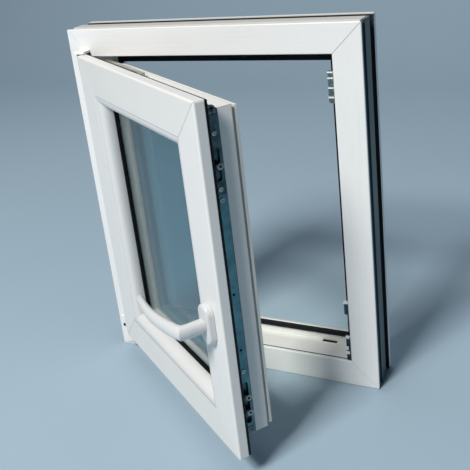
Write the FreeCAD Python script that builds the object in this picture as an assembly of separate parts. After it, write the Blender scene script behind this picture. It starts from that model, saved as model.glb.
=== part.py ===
import FreeCAD, Part
import math
import os

V = FreeCAD.Vector

# Tilt and turn window, mm. X runs along the sill, Y towards outdoors, Z up from the sill's underside.
# The origin is under the middle of the sill, origin_depth behind the room face of the fixed frame.
# Depths are measured from the room face of the fixed frame: positive towards outdoors, negative into the room.
window_width = 500.0
window_height = 600.0
frame_depth = 70.0
origin_depth = 25.0
open_angle = 35.0

# Fixed frame section: widths across the section run inward from the outer perimeter.
frame_face = 45.0
frame_lip = 66.0
lip_slope = 5.0
lip_land = 3.5
frame_edge_round = 1.5
frame_corner_round = 3.0
drain_channel_width = 12.5
drain_channel_depth = 3.0
drain_channel_slope = 2.0
clip_groove_width = 2.5
clip_groove_depth = 3.0
clip_groove_at = 5.0
wall_front_land = 3.0
wall_recess_width = 14.0
wall_recess_depth = 2.0
wall_land = 23.0
wall_groove_width = 20.0
wall_groove_depth = 6.0
drain_slot_length = 25.0
drain_slot_width = 5.0
drain_slot_fall = 20.0
drain_slot_from_end = 100.5
weld_width = 1.4
weld_depth = 0.5

# Sash section: widths run inward from the edge of the overlapping flange.
sash_overlap_line = 38.0
sash_face = 57.0
flange_thickness = 15.5
flange_width = 20.0
face_gap = 5.0
sash_edge_round = 3.0
sash_corner_round = 3.0
sash_lip = 20.0
sash_lip_thickness = 18.5
sash_lip_slope = 6.0
sash_lip_land = 5.0
rear_step = 2.5
rear_step_depth = 4.5
rear_groove_width = 4.5
rear_groove_depth = 3.0
small_round = 1.0

# Hardware groove round the sash.
plate_width = 16.0
plate_thickness = 2.5
plate_side_gap = 0.5
plate_sink = 0.5
plate_at = 4.0
plate_ledge = 2.0
groove_depth = 9.5

# Glazing, from the outdoor lip inward to the room.
outdoor_gasket = 3.0
pane_thickness = 4.0
pane_gap = 16.0
room_gasket = 4.0
pane_edge_gap = 5.0
spacer_width = 8.0
spacer_edge_gap = 1.0
bead_width = 18.0
bead_front = 8.0
bead_drop = 1.0
bead_toe = 2.0
bead_round = 2.5
glazing_gasket_width = 10.0
glazing_gasket_show = 2.5

# Rebate gaskets.
seal_gap = 0.5
seal_width = 6.0
seal_foot_width = 2.0
seal_foot_depth = 3.0
seal_foot_gap = 0.2
sash_seal_at = 1.5
lip_seal_from_edge = 0.5
lip_seal_width = 9.0

# Hinge line.
hinge_from_edge = 29.0
hinge_standoff = 9.0
barrel_radius = 8.0
pin_radius = 3.0
pin_gap = 0.3
pin_length = 24.0
hinge_gap = 0.5
bearing_foot_thickness = 4.0
bearing_foot_half = 13.0
bearing_foot_inner_half = 8.5
bearing_clearance = 1.0
lower_bearing_base = 18.0
lower_leaf_height = 46.0
leaf_plate_width = 10.5
leaf_plate_lift = 5.0
bearing_plate_base = 8.0
bearing_plate_height = 54.0
bearing_plate_reach = 23.0
bearing_plate_round = 4.0
adjuster_hole_radius = 2.2
adjuster_hole_depth = 3.0
adjuster_from_hinge = 15.5
adjuster_height = 44.0
eye_height = 20.0
upper_cap_height = 1.0
upper_cap_wall = 1.5
upper_cap_round = 2.5

# Stay arm on the top rail of the sash.
arm_width = 12.0
arm_thickness = 8.0
arm_reach = 178.0
arm_cover_at = 2.0
arm_cover_width = 24.0
arm_groove_at = 17.5
arm_groove_width = 1.8
arm_groove_depth = 1.5
arm_band_thickness = 3.2
arm_band_gap = 0.8
arm_root_width = 12.0
arm_edge_gap = 2.0

# Lock gear along the lock stile; heights above the lower edge of the sash.
handle_height = 209.5
backset = 15.0
gear_plate_half = 23.0
plate_joint_gap = 0.4
plate_hole_radius = 1.9
plate_hole_above_gear = 14.0
plate_hole_below_gear = 27.0
corner_hole_radius = 3.2
corner_hole_from_end = 3.8
corner_leg = 92.0
extension_end = 391.0
upper_cam_from_top = 93.0
lower_cam_height = 85.0
tilt_cam_height = 60.0
cam_radius = 5.0
cam_rise = 6.5
cam_stem_radius = 3.5
cam_slot_gap = 0.7
cam_sink = 0.3
drive_travel = 18.0
rail_side_gap = 0.6
rail_face_gap = 0.8
rail_end_gap = 45.0

# Keeps on the lock jamb.
keep_base = 2.5
keep_width = 20.0
keep_at = 2.0
keep_hook = 4.0
keep_rise = 7.5
keep_gap = 4.0
hook_length = 21.0
upper_keep_length = 46.5
upper_keep_lead = 5.0
lower_keep_length = 37.0
lower_keep_lead = 17.0
tilt_keep_length = 43.0
keep_rib_width = 3.0
keep_rib_height = 1.2
keep_rib_count = 4

# Handle.
rosette_width = 30.0
rosette_height = 61.0
rosette_thickness = 11.0
rosette_round = 3.0
rosette_shoulder = 0.9
journal_radius = 8.0
journal_depth = 6.0
neck_gap = 0.4

# Sections across the lever, from its root to its tip: distance towards the hinges, distance out of the rosette,
# turn in degrees from straight out to along the grip, half the depth and half the height.
# Their corners are bevelled twice, over a share of half the depth.
lever_bevel = 0.8
lever_sections = [
    (0.0, 0.0, 0.0, 9.5, 10.3),
    (0.0, 25.0, 0.0, 8.8, 10.4),
    (1.5, 32.8, 40.0, 11.2, 10.5),
    (14.0, 37.0, 74.0, 7.8, 10.6),
    (40.0, 42.7, 81.0, 7.1, 10.3),
    (70.0, 45.2, 90.0, 6.6, 9.4),
    (100.0, 43.2, 98.0, 5.8, 7.8),
    (121.0, 39.6, 101.0, 4.9, 5.9),
    (129.5, 37.8, 102.0, 2.2, 2.7),
]

# Positions that follow from the sizes above.
room_y = -origin_depth
half_width = window_width / 2
sash_width = window_width - 2 * sash_overlap_line
sash_height = window_height - 2 * sash_overlap_line
sash_base = sash_overlap_line
sash_top = sash_base + sash_height
sash_half = sash_width / 2
flange_back = -face_gap
sash_front = flange_back - flange_thickness
sash_rear = sash_front + frame_depth
lip_room_face = sash_rear + face_gap
lip_inner_face = sash_rear - sash_lip_thickness
pane_out_rear = lip_inner_face - outdoor_gasket
pane_out_front = pane_out_rear - pane_thickness
pane_room_rear = pane_out_front - pane_gap
pane_room_front = pane_room_rear - pane_thickness
bead_rear = pane_room_front - room_gasket
plate_seat = flange_width + plate_sink + plate_thickness
groove_floor = plate_seat + groove_depth
plate_centre = plate_at + plate_width / 2
hinge_x = -half_width + hinge_from_edge
hinge_y = room_y - hinge_standoff
handle_x = sash_half - flange_width - backset
handle_z = sash_base + handle_height
lock_plane = sash_half - flange_width
rebate_x = half_width - frame_face
top_plane = sash_top - flange_width
upper_cam_height = sash_height - upper_cam_from_top


def outline(points, place):
    """Closed wire through points (a, b) or (a, b, radius), rounding the corners that have a radius."""
    count = len(points)
    starts = []
    ends = []
    edges = []
    for i in range(count):
        here = points[i]
        corner = place(here[0], here[1])
        radius = here[2] if len(here) > 2 else 0.0
        before = place(points[i - 1][0], points[i - 1][1]) - corner
        after = place(points[(i + 1) % count][0], points[(i + 1) % count][1]) - corner
        before.normalize()
        after.normalize()
        if radius == 0.0:
            starts.append(corner)
            ends.append(corner)
            edges.append(None)
            continue
        half = before.getAngle(after) / 2
        reach = radius / math.tan(half)
        first = corner + before * reach
        last = corner + after * reach
        bisector = before + after
        bisector.normalize()
        middle = corner + bisector * (radius / math.sin(half) - radius)
        starts.append(first)
        ends.append(last)
        edges.append(Part.Arc(first, middle, last).toShape())
    chain = []
    for i in range(count):
        if edges[i] is not None:
            chain.append(edges[i])
        following = (i + 1) % count
        chain.append(Part.makeLine(ends[i], starts[following]))
    return Part.Wire(chain)


def across(x):
    """Places section points (width, depth) in the plane at x, with the width going up."""
    return lambda width, depth: V(x, room_y + depth, width)


def block(x0, x1, d0, d1, z0, z1):
    """Box between two x values, two depths and two heights, each pair in either order."""
    corner = V(min(x0, x1), room_y + min(d0, d1), min(z0, z1))
    return Part.makeBox(abs(x1 - x0), abs(d1 - d0), abs(z1 - z0), corner)


def upright(x, depth, radius, z0, z1):
    """Vertical cylinder."""
    return Part.makeCylinder(radius, z1 - z0, V(x, room_y + depth, z0), V(0, 0, 1))


def fused(*shapes):
    """One clean solid from touching or overlapping ones."""
    whole = shapes[0].fuse(list(shapes[1:]))
    return whole.removeSplitter()


def mitred(section, length):
    """A length of the section along X, cut at 45 degrees at both ends."""
    reach = max(point[0] for point in section) + small_round
    deep = max(point[1] for point in section)
    shallow = min(point[1] for point in section)
    bar = Part.Face(outline(section, across(-length / 2))).extrude(V(length, 0, 0))
    start = room_y + shallow
    corners = [(-length / 2, 0), (length / 2, 0), (length / 2 - reach, reach), (-length / 2 + reach, reach)]
    wedge = Part.Face(outline(corners, lambda x, z: V(x, start, z))).extrude(V(0, deep - shallow, 0))
    return bar.common(wedge)


def surround(section, width, height, base, weld_at=None):
    """Bottom, top, left and right members of a mitred rectangle that stands on the height base."""
    members = []
    turns = [(0, 0, base), (180, 0, base + height), (90, -width / 2, base + height / 2),
             (-90, width / 2, base + height / 2)]
    for turn, x, z in turns:
        length = width if turn in (0, 180) else height
        member = mitred(section, length)
        if weld_at is not None:
            for side in (-1, 1):
                member = member.cut(weld_line(side * length / 2, side, weld_at, sash_face + small_round))
        member.rotate(V(0, 0, 0), V(0, 1, 0), turn)
        member.translate(V(x, 0, z))
        members.append(member)
    return members


def weld_line(x, side, face, reach):
    """V-shaped cutter along the mitre that starts at x on a room face."""
    points = [(-weld_width / 2, face - weld_depth), (weld_width / 2, face - weld_depth), (0, face + weld_depth)]
    cutter = Part.Face(outline(points, across(0))).extrude(V(reach * math.sqrt(2), 0, 0))
    cutter.rotate(V(0, 0, 0), V(0, 1, 0), -45 if side < 0 else -135)
    cutter.translate(V(x, 0, 0))
    return cutter


def ring(section, width, height, base):
    """Closed rectangular ring of one soft or bent section."""
    return fused(*surround(section, width, height, base))


def rounded_block(width, height, base, radius):
    """Plate as large as a mitred rectangle, with its four corners rounded, deep enough to trim any member."""
    plate = Part.makeBox(width, 4 * frame_depth, height, V(-width / 2, -2 * frame_depth, base))
    uprights = [edge for edge in plate.Edges if abs(edge.tangentAt(edge.FirstParameter).y) > 0.5]
    return plate.makeFillet(radius, uprights)


nodes = {}
moving = []


def keep_fixed(name, shape):
    nodes[name] = shape


def keep_sash(name, shape):
    nodes[name] = shape
    moving.append(name)


# Fixed frame: one section mitred into sill, head and two jambs.
channel_floor = frame_face - drain_channel_depth
channel_start = lip_room_face - drain_channel_width
wall_recess_end = wall_front_land + wall_recess_width
wall_groove_start = wall_recess_end + wall_land
lip_seal_at = frame_lip - lip_seal_from_edge - lip_seal_width
lip_foot_at = lip_seal_at + (lip_seal_width - seal_foot_width) / 2
frame_section = [
    (0, 0, frame_edge_round),
    (frame_face, 0, frame_edge_round),
    (frame_face, clip_groove_at),
    (frame_face - clip_groove_depth, clip_groove_at),
    (frame_face - clip_groove_depth, clip_groove_at + clip_groove_width),
    (frame_face, clip_groove_at + clip_groove_width),
    (frame_face, channel_start - drain_channel_slope),
    (channel_floor, channel_start),
    (channel_floor, lip_room_face),
    (lip_foot_at, lip_room_face),
    (lip_foot_at, lip_room_face + seal_foot_depth),
    (lip_foot_at + seal_foot_width, lip_room_face + seal_foot_depth),
    (lip_foot_at + seal_foot_width, lip_room_face),
    (frame_lip, lip_room_face, small_round),
    (frame_lip, lip_room_face + lip_land, small_round),
    (frame_lip - lip_slope, frame_depth, frame_edge_round),
    (0, frame_depth, small_round),
    (0, wall_groove_start + wall_groove_width),
    (wall_groove_depth, wall_groove_start + wall_groove_width),
    (wall_groove_depth, wall_groove_start),
    (0, wall_groove_start),
    (0, wall_recess_end),
    (wall_recess_depth, wall_recess_end),
    (wall_recess_depth, wall_front_land),
    (0, wall_front_land),
]
trim = rounded_block(window_width, window_height, 0, frame_corner_round)
frame_members = surround(frame_section, window_width, window_height, 0, 0)
sill, head, hinge_jamb, lock_jamb = [member.common(trim) for member in frame_members]

# Each drain slot falls from the rebate channel and leaves through the outdoor face.
for side in (-1, 1):
    slot_end = side * (half_width - drain_slot_from_end + drain_slot_length / 2)
    slot_start = slot_end - side * drain_slot_length
    slot_rear = lip_room_face - drain_slot_width
    fall = block(slot_start, slot_end, slot_rear, lip_room_face, channel_floor - drain_slot_fall, channel_floor)
    outlet_top = channel_floor - drain_slot_fall + drain_slot_width
    outlet = block(slot_start, slot_end, slot_rear, frame_depth, channel_floor - drain_slot_fall, outlet_top)
    sill = sill.cut(fall).cut(outlet)
keep_fixed("frame_sill", sill)
keep_fixed("frame_head", head)
keep_fixed("frame_jamb_hinge", hinge_jamb)
keep_fixed("frame_jamb_lock", lock_jamb)

# Gasket on the outdoor lip; its foot sits in the lip's groove.
lip_seal_section = [
    (lip_seal_at, lip_room_face),
    (lip_seal_at, sash_rear + seal_gap, small_round),
    (lip_seal_at + lip_seal_width, sash_rear + seal_gap, small_round),
    (lip_seal_at + lip_seal_width, lip_room_face),
    (lip_foot_at + seal_foot_width - seal_foot_gap, lip_room_face),
    (lip_foot_at + seal_foot_width - seal_foot_gap, lip_room_face + seal_foot_depth - seal_foot_gap),
    (lip_foot_at + seal_foot_gap, lip_room_face + seal_foot_depth - seal_foot_gap),
    (lip_foot_at + seal_foot_gap, lip_room_face),
]
keep_fixed("frame_gasket", ring(lip_seal_section, window_width, window_height, 0))


# Keeps: a base with cross ribs and, towards the room, a wall that the cam slides behind.
def keep(z0, z1, hook0, hook1):
    base_top = rebate_x - keep_base
    body = block(base_top, rebate_x, keep_at, keep_at + keep_width, z0, z1)
    wall = block(rebate_x - keep_rise, rebate_x, keep_at, keep_at + keep_hook, hook0, hook1)
    pitch = (z1 - z0) / keep_rib_count
    ribs = []
    for i in range(keep_rib_count):
        middle = z0 + pitch * (i + 0.5)
        ribs.append(block(base_top - keep_rib_height, base_top, keep_at + keep_hook, keep_at + keep_width,
                          middle - keep_rib_width / 2, middle + keep_rib_width / 2))
    return fused(body, wall, *ribs)


hook_lead = cam_radius + keep_gap
upper_keep_start = sash_base + upper_cam_height + hook_lead + upper_keep_lead
upper_keep_end = upper_keep_start + upper_keep_length
lower_hook = sash_base + lower_cam_height + hook_lead
tilt_keep_end = sash_base + tilt_cam_height - hook_lead
tilt_keep_start = tilt_keep_end - tilt_keep_length
keep_fixed("keep_upper", keep(upper_keep_start, upper_keep_end, upper_keep_start, upper_keep_end))
lower_keep_start = lower_hook - lower_keep_lead
keep_fixed("keep_lower", keep(lower_keep_start, lower_keep_start + lower_keep_length,
                              lower_hook, lower_hook + hook_length - small_round))
keep_fixed("tilt_keep", keep(tilt_keep_start, tilt_keep_end, tilt_keep_start, tilt_keep_end))

# Lower hinge: a bearing with its pin on the frame, and beside it a plate with the adjusting hole.
barrel_depth = -hinge_standoff
lower_joint = sash_base - hinge_gap
foot_left = hinge_x - bearing_foot_half
foot_right = hinge_x + bearing_foot_inner_half
lower_foot = block(foot_left, foot_right, -bearing_foot_thickness, 0, lower_bearing_base, lower_joint)
lower_web = block(hinge_x - barrel_radius, hinge_x + barrel_radius, barrel_depth, 0,
                  lower_bearing_base, lower_joint)
lower_barrel = upright(hinge_x, barrel_depth, barrel_radius, lower_bearing_base, lower_joint)
lower_pin = upright(hinge_x, barrel_depth, pin_radius, lower_joint, lower_joint + pin_length)
plate_left = hinge_x - bearing_plate_reach
plate_right = hinge_x - barrel_radius - bearing_clearance
bearing_plate = block(plate_left, plate_right, -bearing_foot_thickness, 0,
                      bearing_plate_base, bearing_plate_base + bearing_plate_height)
plate_middle = room_y - bearing_foot_thickness / 2
plate_corners = [edge for edge in bearing_plate.Edges
                 if edge.CenterOfMass.x - plate_left < small_round
                 and abs(edge.CenterOfMass.y - plate_middle) < small_round]
bearing_plate = bearing_plate.makeFillet(bearing_plate_round, plate_corners)
adjuster_at = V(hinge_x - adjuster_from_hinge, room_y - bearing_foot_thickness, adjuster_height)
adjuster_hole = Part.makeCylinder(adjuster_hole_radius, adjuster_hole_depth, adjuster_at, V(0, 1, 0))
lower_bearing = fused(lower_foot, lower_web, lower_barrel, lower_pin, bearing_plate)
keep_fixed("lower_hinge_bearing", lower_bearing.cut(adjuster_hole))

# Upper hinge: a bearing with its pin above the eye of the stay arm, under a cap over the sash's corner.
eye_top = top_plane + arm_thickness - plate_sink
eye_base = eye_top - eye_height
upper_joint = eye_top + hinge_gap
cap_base = sash_top + bearing_clearance
cap_top = cap_base + upper_cap_height
upper_foot = block(hinge_x - barrel_radius, foot_right, -bearing_foot_thickness, 0, upper_joint, cap_top)
upper_barrel = upright(hinge_x, barrel_depth, barrel_radius, upper_joint, cap_top)
upper_pin = upright(hinge_x, barrel_depth, pin_radius, eye_base, upper_joint)
keep_fixed("stay_bearing", fused(upper_foot, upper_barrel, upper_pin))
cap = block(hinge_x - barrel_radius - upper_cap_wall, foot_right + upper_cap_round,
            barrel_depth - barrel_radius - upper_cap_wall, 0, cap_base, cap_top + upper_cap_round)
cap_face = room_y + barrel_depth - barrel_radius
cap_edges = [edge for edge in cap.Edges
             if edge.CenterOfMass.y < cap_face and edge.CenterOfMass.z > cap_base + pin_gap]
cap = cap.makeFillet(upper_cap_round, cap_edges)
hollow = fused(upper_foot, upper_barrel)
keep_fixed("stay_bearing_cap", cap.cut(hollow))

# Sash: one section mitred into two rails and two stiles.
rear_edge = flange_width + rear_step
rear_step_start = sash_rear - rear_step_depth
plate_low = plate_at - plate_side_gap
plate_high = plate_at + plate_width + plate_side_gap
groove_low = plate_low + plate_ledge
groove_high = plate_high - plate_ledge
sash_foot_at = sash_seal_at + (seal_width - seal_foot_width) / 2
sash_section = [
    (0, sash_front, sash_edge_round),
    (sash_face, sash_front, small_round),
    (sash_face, lip_inner_face),
    (sash_face + sash_lip, lip_inner_face, small_round),
    (sash_face + sash_lip, lip_inner_face + sash_lip_land, small_round),
    (sash_face + sash_lip - sash_lip_slope, sash_rear, small_round),
    (rear_edge, sash_rear, small_round),
    (rear_edge, rear_step_start),
    (rear_edge + rear_groove_depth, rear_step_start),
    (rear_edge + rear_groove_depth, rear_step_start - rear_groove_width),
    (flange_width, rear_step_start - rear_groove_width, small_round),
    (flange_width, plate_high),
    (plate_seat, plate_high),
    (plate_seat, groove_high),
    (groove_floor, groove_high),
    (groove_floor, groove_low),
    (plate_seat, groove_low),
    (plate_seat, plate_low),
    (flange_width, plate_low),
    (flange_width, flange_back),
    (sash_foot_at + seal_foot_width, flange_back),
    (sash_foot_at + seal_foot_width, flange_back - seal_foot_depth),
    (sash_foot_at, flange_back - seal_foot_depth),
    (sash_foot_at, flange_back),
    (0, flange_back, small_round),
]
sash_trim = rounded_block(sash_width, sash_height, sash_base, sash_corner_round)
sash_members = surround(sash_section, sash_width, sash_height, sash_base, sash_front)
bottom_rail, top_rail, hinge_stile, lock_stile = [member.common(sash_trim) for member in sash_members]
keep_sash("sash_bottom_rail", bottom_rail)
keep_sash("sash_top_rail", top_rail)
keep_sash("sash_hinge_stile", hinge_stile)
keep_sash("sash_lock_stile", lock_stile)

# Glazing beads, gaskets, panes and spacer.
bead_start = sash_front + bead_drop
bead_section = [
    (sash_face, bead_start),
    (sash_face + bead_front, bead_start, bead_round),
    (sash_face + bead_width, bead_rear - bead_toe, small_round),
    (sash_face + bead_width, bead_rear),
    (sash_face, bead_rear),
]
bead_names = ["bead_bottom", "bead_top", "bead_hinge", "bead_lock"]
for name, member in zip(bead_names, surround(bead_section, sash_width, sash_height, sash_base)):
    keep_sash(name, member)
bead_inner = sash_face + bead_width + glazing_gasket_show
room_gasket_section = [
    (bead_inner - glazing_gasket_width, bead_rear),
    (bead_inner, bead_rear, small_round),
    (bead_inner, pane_room_front),
    (bead_inner - glazing_gasket_width, pane_room_front),
]
keep_sash("glazing_gasket_room", ring(room_gasket_section, sash_width, sash_height, sash_base))
lip_inner = sash_face + sash_lip + glazing_gasket_show
outdoor_gasket_section = [
    (lip_inner - glazing_gasket_width, pane_out_rear),
    (lip_inner, pane_out_rear),
    (lip_inner, lip_inner_face, small_round),
    (lip_inner - glazing_gasket_width, lip_inner_face),
]
keep_sash("glazing_gasket_outdoor", ring(outdoor_gasket_section, sash_width, sash_height, sash_base))
pane_edge = sash_face + pane_edge_gap
pane_half = sash_half - pane_edge
pane_low = sash_base + pane_edge
pane_high = sash_top - pane_edge
keep_sash("glass_room", block(-pane_half, pane_half, pane_room_front, pane_room_rear, pane_low, pane_high))
keep_sash("glass_outdoor", block(-pane_half, pane_half, pane_out_front, pane_out_rear, pane_low, pane_high))
spacer_edge = pane_edge + spacer_edge_gap
spacer_section = [
    (spacer_edge, pane_room_rear),
    (spacer_edge + spacer_width, pane_room_rear),
    (spacer_edge + spacer_width, pane_out_front),
    (spacer_edge, pane_out_front),
]
keep_sash("spacer_bar", ring(spacer_section, sash_width, sash_height, sash_base))

# Stay arm: a sole on the guide under a wider grooved cover.
# Its root passes behind the flange to the hinge line.
arm_base = top_plane - plate_sink
cover_base = top_plane + plate_sink
band_front = flange_back + arm_band_gap
band_rear = band_front + arm_band_thickness
arm_low = plate_centre - arm_width / 2
arm_high = plate_centre + arm_width / 2
arm_left = -rebate_x + arm_edge_gap
root_end = arm_left + arm_root_width
arm_end = hinge_x + arm_reach
sole = block(root_end, arm_end, arm_low, arm_high, arm_base, cover_base)
cover = block(arm_left, arm_end, arm_cover_at, arm_cover_at + arm_cover_width, cover_base, eye_top)
cover_groove = block(root_end, arm_end - arm_root_width, arm_groove_at, arm_groove_at + arm_groove_width,
                     eye_top - arm_groove_depth, eye_top)
root = block(arm_left, root_end, band_front, arm_high, cover_base, eye_top)
band = block(hinge_x, root_end - arm_edge_gap, band_front, band_rear, eye_base, eye_top)
eye = upright(hinge_x, barrel_depth, barrel_radius, eye_base, eye_top)
eye_bore = upright(hinge_x, barrel_depth, pin_radius + pin_gap, eye_base, eye_top)
arm = fused(sole, cover.cut(cover_groove), root, band, eye)
keep_sash("stay_arm", arm.cut(eye_bore))

# Gasket on the back of the sash's flange, notched where the stay arm passes.
sash_seal_section = [
    (sash_seal_at, flange_back),
    (sash_foot_at + seal_foot_gap, flange_back),
    (sash_foot_at + seal_foot_gap, flange_back - seal_foot_depth + seal_foot_gap),
    (sash_foot_at + seal_foot_width - seal_foot_gap, flange_back - seal_foot_depth + seal_foot_gap),
    (sash_foot_at + seal_foot_width - seal_foot_gap, flange_back),
    (sash_seal_at + seal_width, flange_back),
    (sash_seal_at + seal_width, -seal_gap, small_round),
    (sash_seal_at, -seal_gap, small_round),
]
sash_seal = ring(sash_seal_section, sash_width, sash_height, sash_base)
notch = block(hinge_x, -lock_plane, flange_back, 0, eye_base - bearing_clearance, eye_top + bearing_clearance)
keep_sash("sash_gasket", sash_seal.cut(notch))

# Leaf of the lower hinge: a barrel over the pin, held to the flange's edge by a plate.
leaf_top = sash_base + lower_leaf_height
leaf_barrel = upright(hinge_x, barrel_depth, barrel_radius, sash_base, leaf_top)
leaf_front = (sash_front + flange_back) / 2 - leaf_plate_width / 2
leaf_plate = block(hinge_x, -sash_half, leaf_front, leaf_front + leaf_plate_width,
                   sash_base + leaf_plate_lift, leaf_top)
leaf_plate = leaf_plate.cut(upright(hinge_x, barrel_depth, pin_radius + pin_gap, sash_base, leaf_top))
pin_bore = upright(hinge_x, barrel_depth, pin_radius + pin_gap, sash_base, sash_base + pin_length)
keep_sash("lower_hinge_leaf", fused(leaf_barrel.cut(pin_bore), leaf_plate))

# Cover plates of the lock gear, slotted for the cam stems.
plate_top = flange_width + plate_sink
plate_x0 = sash_half - plate_seat
plate_x1 = sash_half - plate_top
plate_d0 = plate_at
plate_d1 = plate_at + plate_width
cam_heights = {
    "lock_cam_upper": upper_cam_height,
    "lock_cam_lower": lower_cam_height,
    "tilt_cam": tilt_cam_height,
}
slot_half = cam_stem_radius + cam_slot_gap
low_plate_end = handle_z - gear_plate_half
high_plate_start = handle_z + gear_plate_half
high_plate_joint = sash_base + extension_end
plate_holes = [
    (high_plate_start + plate_hole_above_gear, plate_hole_radius),
    (low_plate_end - plate_hole_below_gear, plate_hole_radius),
    (sash_top - plate_top - corner_hole_from_end, corner_hole_radius),
]


def plate_bore(radius, z):
    return Part.makeCylinder(radius, plate_thickness, V(plate_x0, room_y + plate_centre, z), V(1, 0, 0))


def stile_plate(z0, z1):
    """Plate along the lock stile between two heights, with the cam slots and holes that fall on it."""
    plate = block(plate_x0, plate_x1, plate_d0, plate_d1, z0, z1)
    for height in cam_heights.values():
        middle = sash_base + height
        low = middle - drive_travel
        high = middle + drive_travel
        slot = block(plate_x0, plate_x1, plate_centre - slot_half, plate_centre + slot_half, low, high)
        plate = plate.cut(slot)
        for end in (low, high):
            plate = plate.cut(plate_bore(slot_half, end))
    for z, radius in plate_holes:
        plate = plate.cut(plate_bore(radius, z))
    return plate


leg_x0 = sash_half - plate_top - corner_leg
low_leg = block(leg_x0, plate_x1, plate_d0, plate_d1, sash_base + plate_top, sash_base + plate_seat)
high_leg = block(leg_x0, plate_x1, plate_d0, plate_d1, sash_top - plate_seat, sash_top - plate_top)
keep_sash("corner_drive_bottom", fused(stile_plate(sash_base + plate_top, low_plate_end), low_leg))
keep_sash("gear_plate", stile_plate(low_plate_end + plate_joint_gap, high_plate_start - plate_joint_gap))
keep_sash("extension_plate", stile_plate(high_plate_start, high_plate_joint - plate_joint_gap))
keep_sash("corner_drive_top", fused(stile_plate(high_plate_joint, sash_top - plate_top), high_leg))
keep_sash("stay_guide", block(root_end, leg_x0 - plate_joint_gap, plate_d0, plate_d1,
                              sash_top - plate_seat, sash_top - plate_top))

# Drive rail behind the plates, with the cams that pass through their slots.
rail_d0 = groove_low + rail_side_gap
rail_d1 = groove_high - rail_side_gap
rail_x0 = sash_half - groove_floor + rail_face_gap
rail_x1 = plate_x0 - rail_face_gap
rail_low = sash_base + rail_end_gap
rail_high = sash_top - rail_end_gap
keep_sash("drive_rail", block(rail_x0, rail_x1, rail_d0, rail_d1, rail_low, rail_high))
for name, height in cam_heights.items():
    base = V(rail_x1, room_y + plate_centre, sash_base + height)
    head_start = lock_plane + cam_sink
    stem = Part.makeCylinder(cam_stem_radius, head_start - rail_x1, base, V(1, 0, 0))
    button = Part.makeCylinder(cam_radius, cam_rise, V(head_start, base.y, base.z), V(1, 0, 0))
    keep_sash(name, fused(stem, button))

# Handle: a rosette on the lock stile and a lever that turns in it.
rosette_top = sash_front - rosette_thickness
neck_start = rosette_top - neck_gap


def handle_section(along, out, turn, corners):
    """Outline across the handle's path; turn goes from straight out of the rosette to along the grip."""
    slant = math.radians(turn)
    middle = V(handle_x - along, room_y + neck_start - out, handle_z)
    sideways = V(math.cos(slant), -math.sin(slant), 0)
    return outline(corners, lambda width, rise: middle + sideways * width + V(0, 0, rise))


def rosette_outline(below_top, inset):
    half = rosette_width / 2 - inset
    high = rosette_height / 2 - inset
    radius = half - neck_gap
    corners = [(-half, -high, radius), (half, -high, radius), (half, high, radius), (-half, high, radius)]
    return handle_section(0, -neck_gap - below_top, 0, corners)


rosette_outlines = [
    rosette_outline(rosette_thickness, 0),
    rosette_outline(rosette_round, 0),
    rosette_outline(rosette_shoulder, rosette_shoulder),
    rosette_outline(0, rosette_round),
]
journal_bore = Part.makeCylinder(journal_radius + pin_gap, journal_depth + neck_gap,
                                 V(handle_x, room_y + rosette_top, handle_z), V(0, 1, 0))
keep_sash("handle_rosette", Part.makeLoft(rosette_outlines, True, True).cut(journal_bore))

lever_outlines = []
for along, out, turn, half_depth, half_high in lever_sections:
    bevel = half_depth * lever_bevel
    nip = bevel * (1 - math.sqrt(0.5))
    side_end = (half_depth, half_high - bevel)
    corner_middle = (half_depth - nip, half_high - nip)
    top_end = (half_depth - bevel, half_high)
    quarter = [side_end, corner_middle, top_end]
    half = quarter + [(-width, rise) for width, rise in reversed(quarter)]
    corners = half + [(width, -rise) for width, rise in reversed(half)]
    lever_outlines.append(handle_section(along, out, turn, corners))
lever = Part.makeLoft(lever_outlines, True, True)
journal_start = V(handle_x, room_y + neck_start, handle_z)
journal = Part.makeCylinder(journal_radius, journal_depth + neck_gap, journal_start, V(0, 1, 0))
keep_sash("handle_lever", fused(lever, journal))

# The sash and everything on it stand open about the hinge line.
for name in moving:
    nodes[name].rotate(V(hinge_x, hinge_y, 0), V(0, 0, 1), -open_angle)

os.makedirs("parts", exist_ok=True)
for name, shape in nodes.items():
    shape.exportStep("parts/" + name + ".step")
    print(name, shape.isValid(), len(shape.Solids), round(shape.Volume))
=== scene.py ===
import bmesh
import bpy
import math
from mathutils import Matrix, Vector


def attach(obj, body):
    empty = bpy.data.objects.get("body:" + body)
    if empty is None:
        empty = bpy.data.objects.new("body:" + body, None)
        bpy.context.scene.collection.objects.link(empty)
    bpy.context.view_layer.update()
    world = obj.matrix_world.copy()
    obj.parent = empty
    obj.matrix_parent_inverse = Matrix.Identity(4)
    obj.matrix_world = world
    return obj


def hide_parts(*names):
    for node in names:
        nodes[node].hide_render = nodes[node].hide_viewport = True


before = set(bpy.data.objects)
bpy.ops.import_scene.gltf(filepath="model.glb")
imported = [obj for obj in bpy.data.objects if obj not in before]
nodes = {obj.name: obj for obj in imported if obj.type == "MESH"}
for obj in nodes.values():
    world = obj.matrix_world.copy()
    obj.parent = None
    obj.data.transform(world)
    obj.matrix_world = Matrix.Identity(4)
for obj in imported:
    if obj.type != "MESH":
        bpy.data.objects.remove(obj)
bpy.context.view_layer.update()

# Sizes in millimetres become metres with mm.
# The sash's pieces are modelled shut and then turned open on the hinge line.
mm = 0.001
x_axis, y_axis, z_axis = 0, 1, 2
room_face = -25
hinge_line = Vector((-0.221, -0.034, 0))
open_angle = 35
open_sash = (Matrix.Translation(hinge_line) @ Matrix.Rotation(math.radians(-open_angle), 4, "Z")
             @ Matrix.Translation(-hinge_line))
frame_half_width = 0.250
frame_half_height = 0.300
sash_half_width = 0.212
sash_half_height = 0.262
middle_height = 0.300


def at(x, depth, z):
    """Point from millimetres: along the sill, outdoors from the frame's room face, and up."""
    return Vector((x * mm, (room_face + depth) * mm, z * mm))


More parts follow.
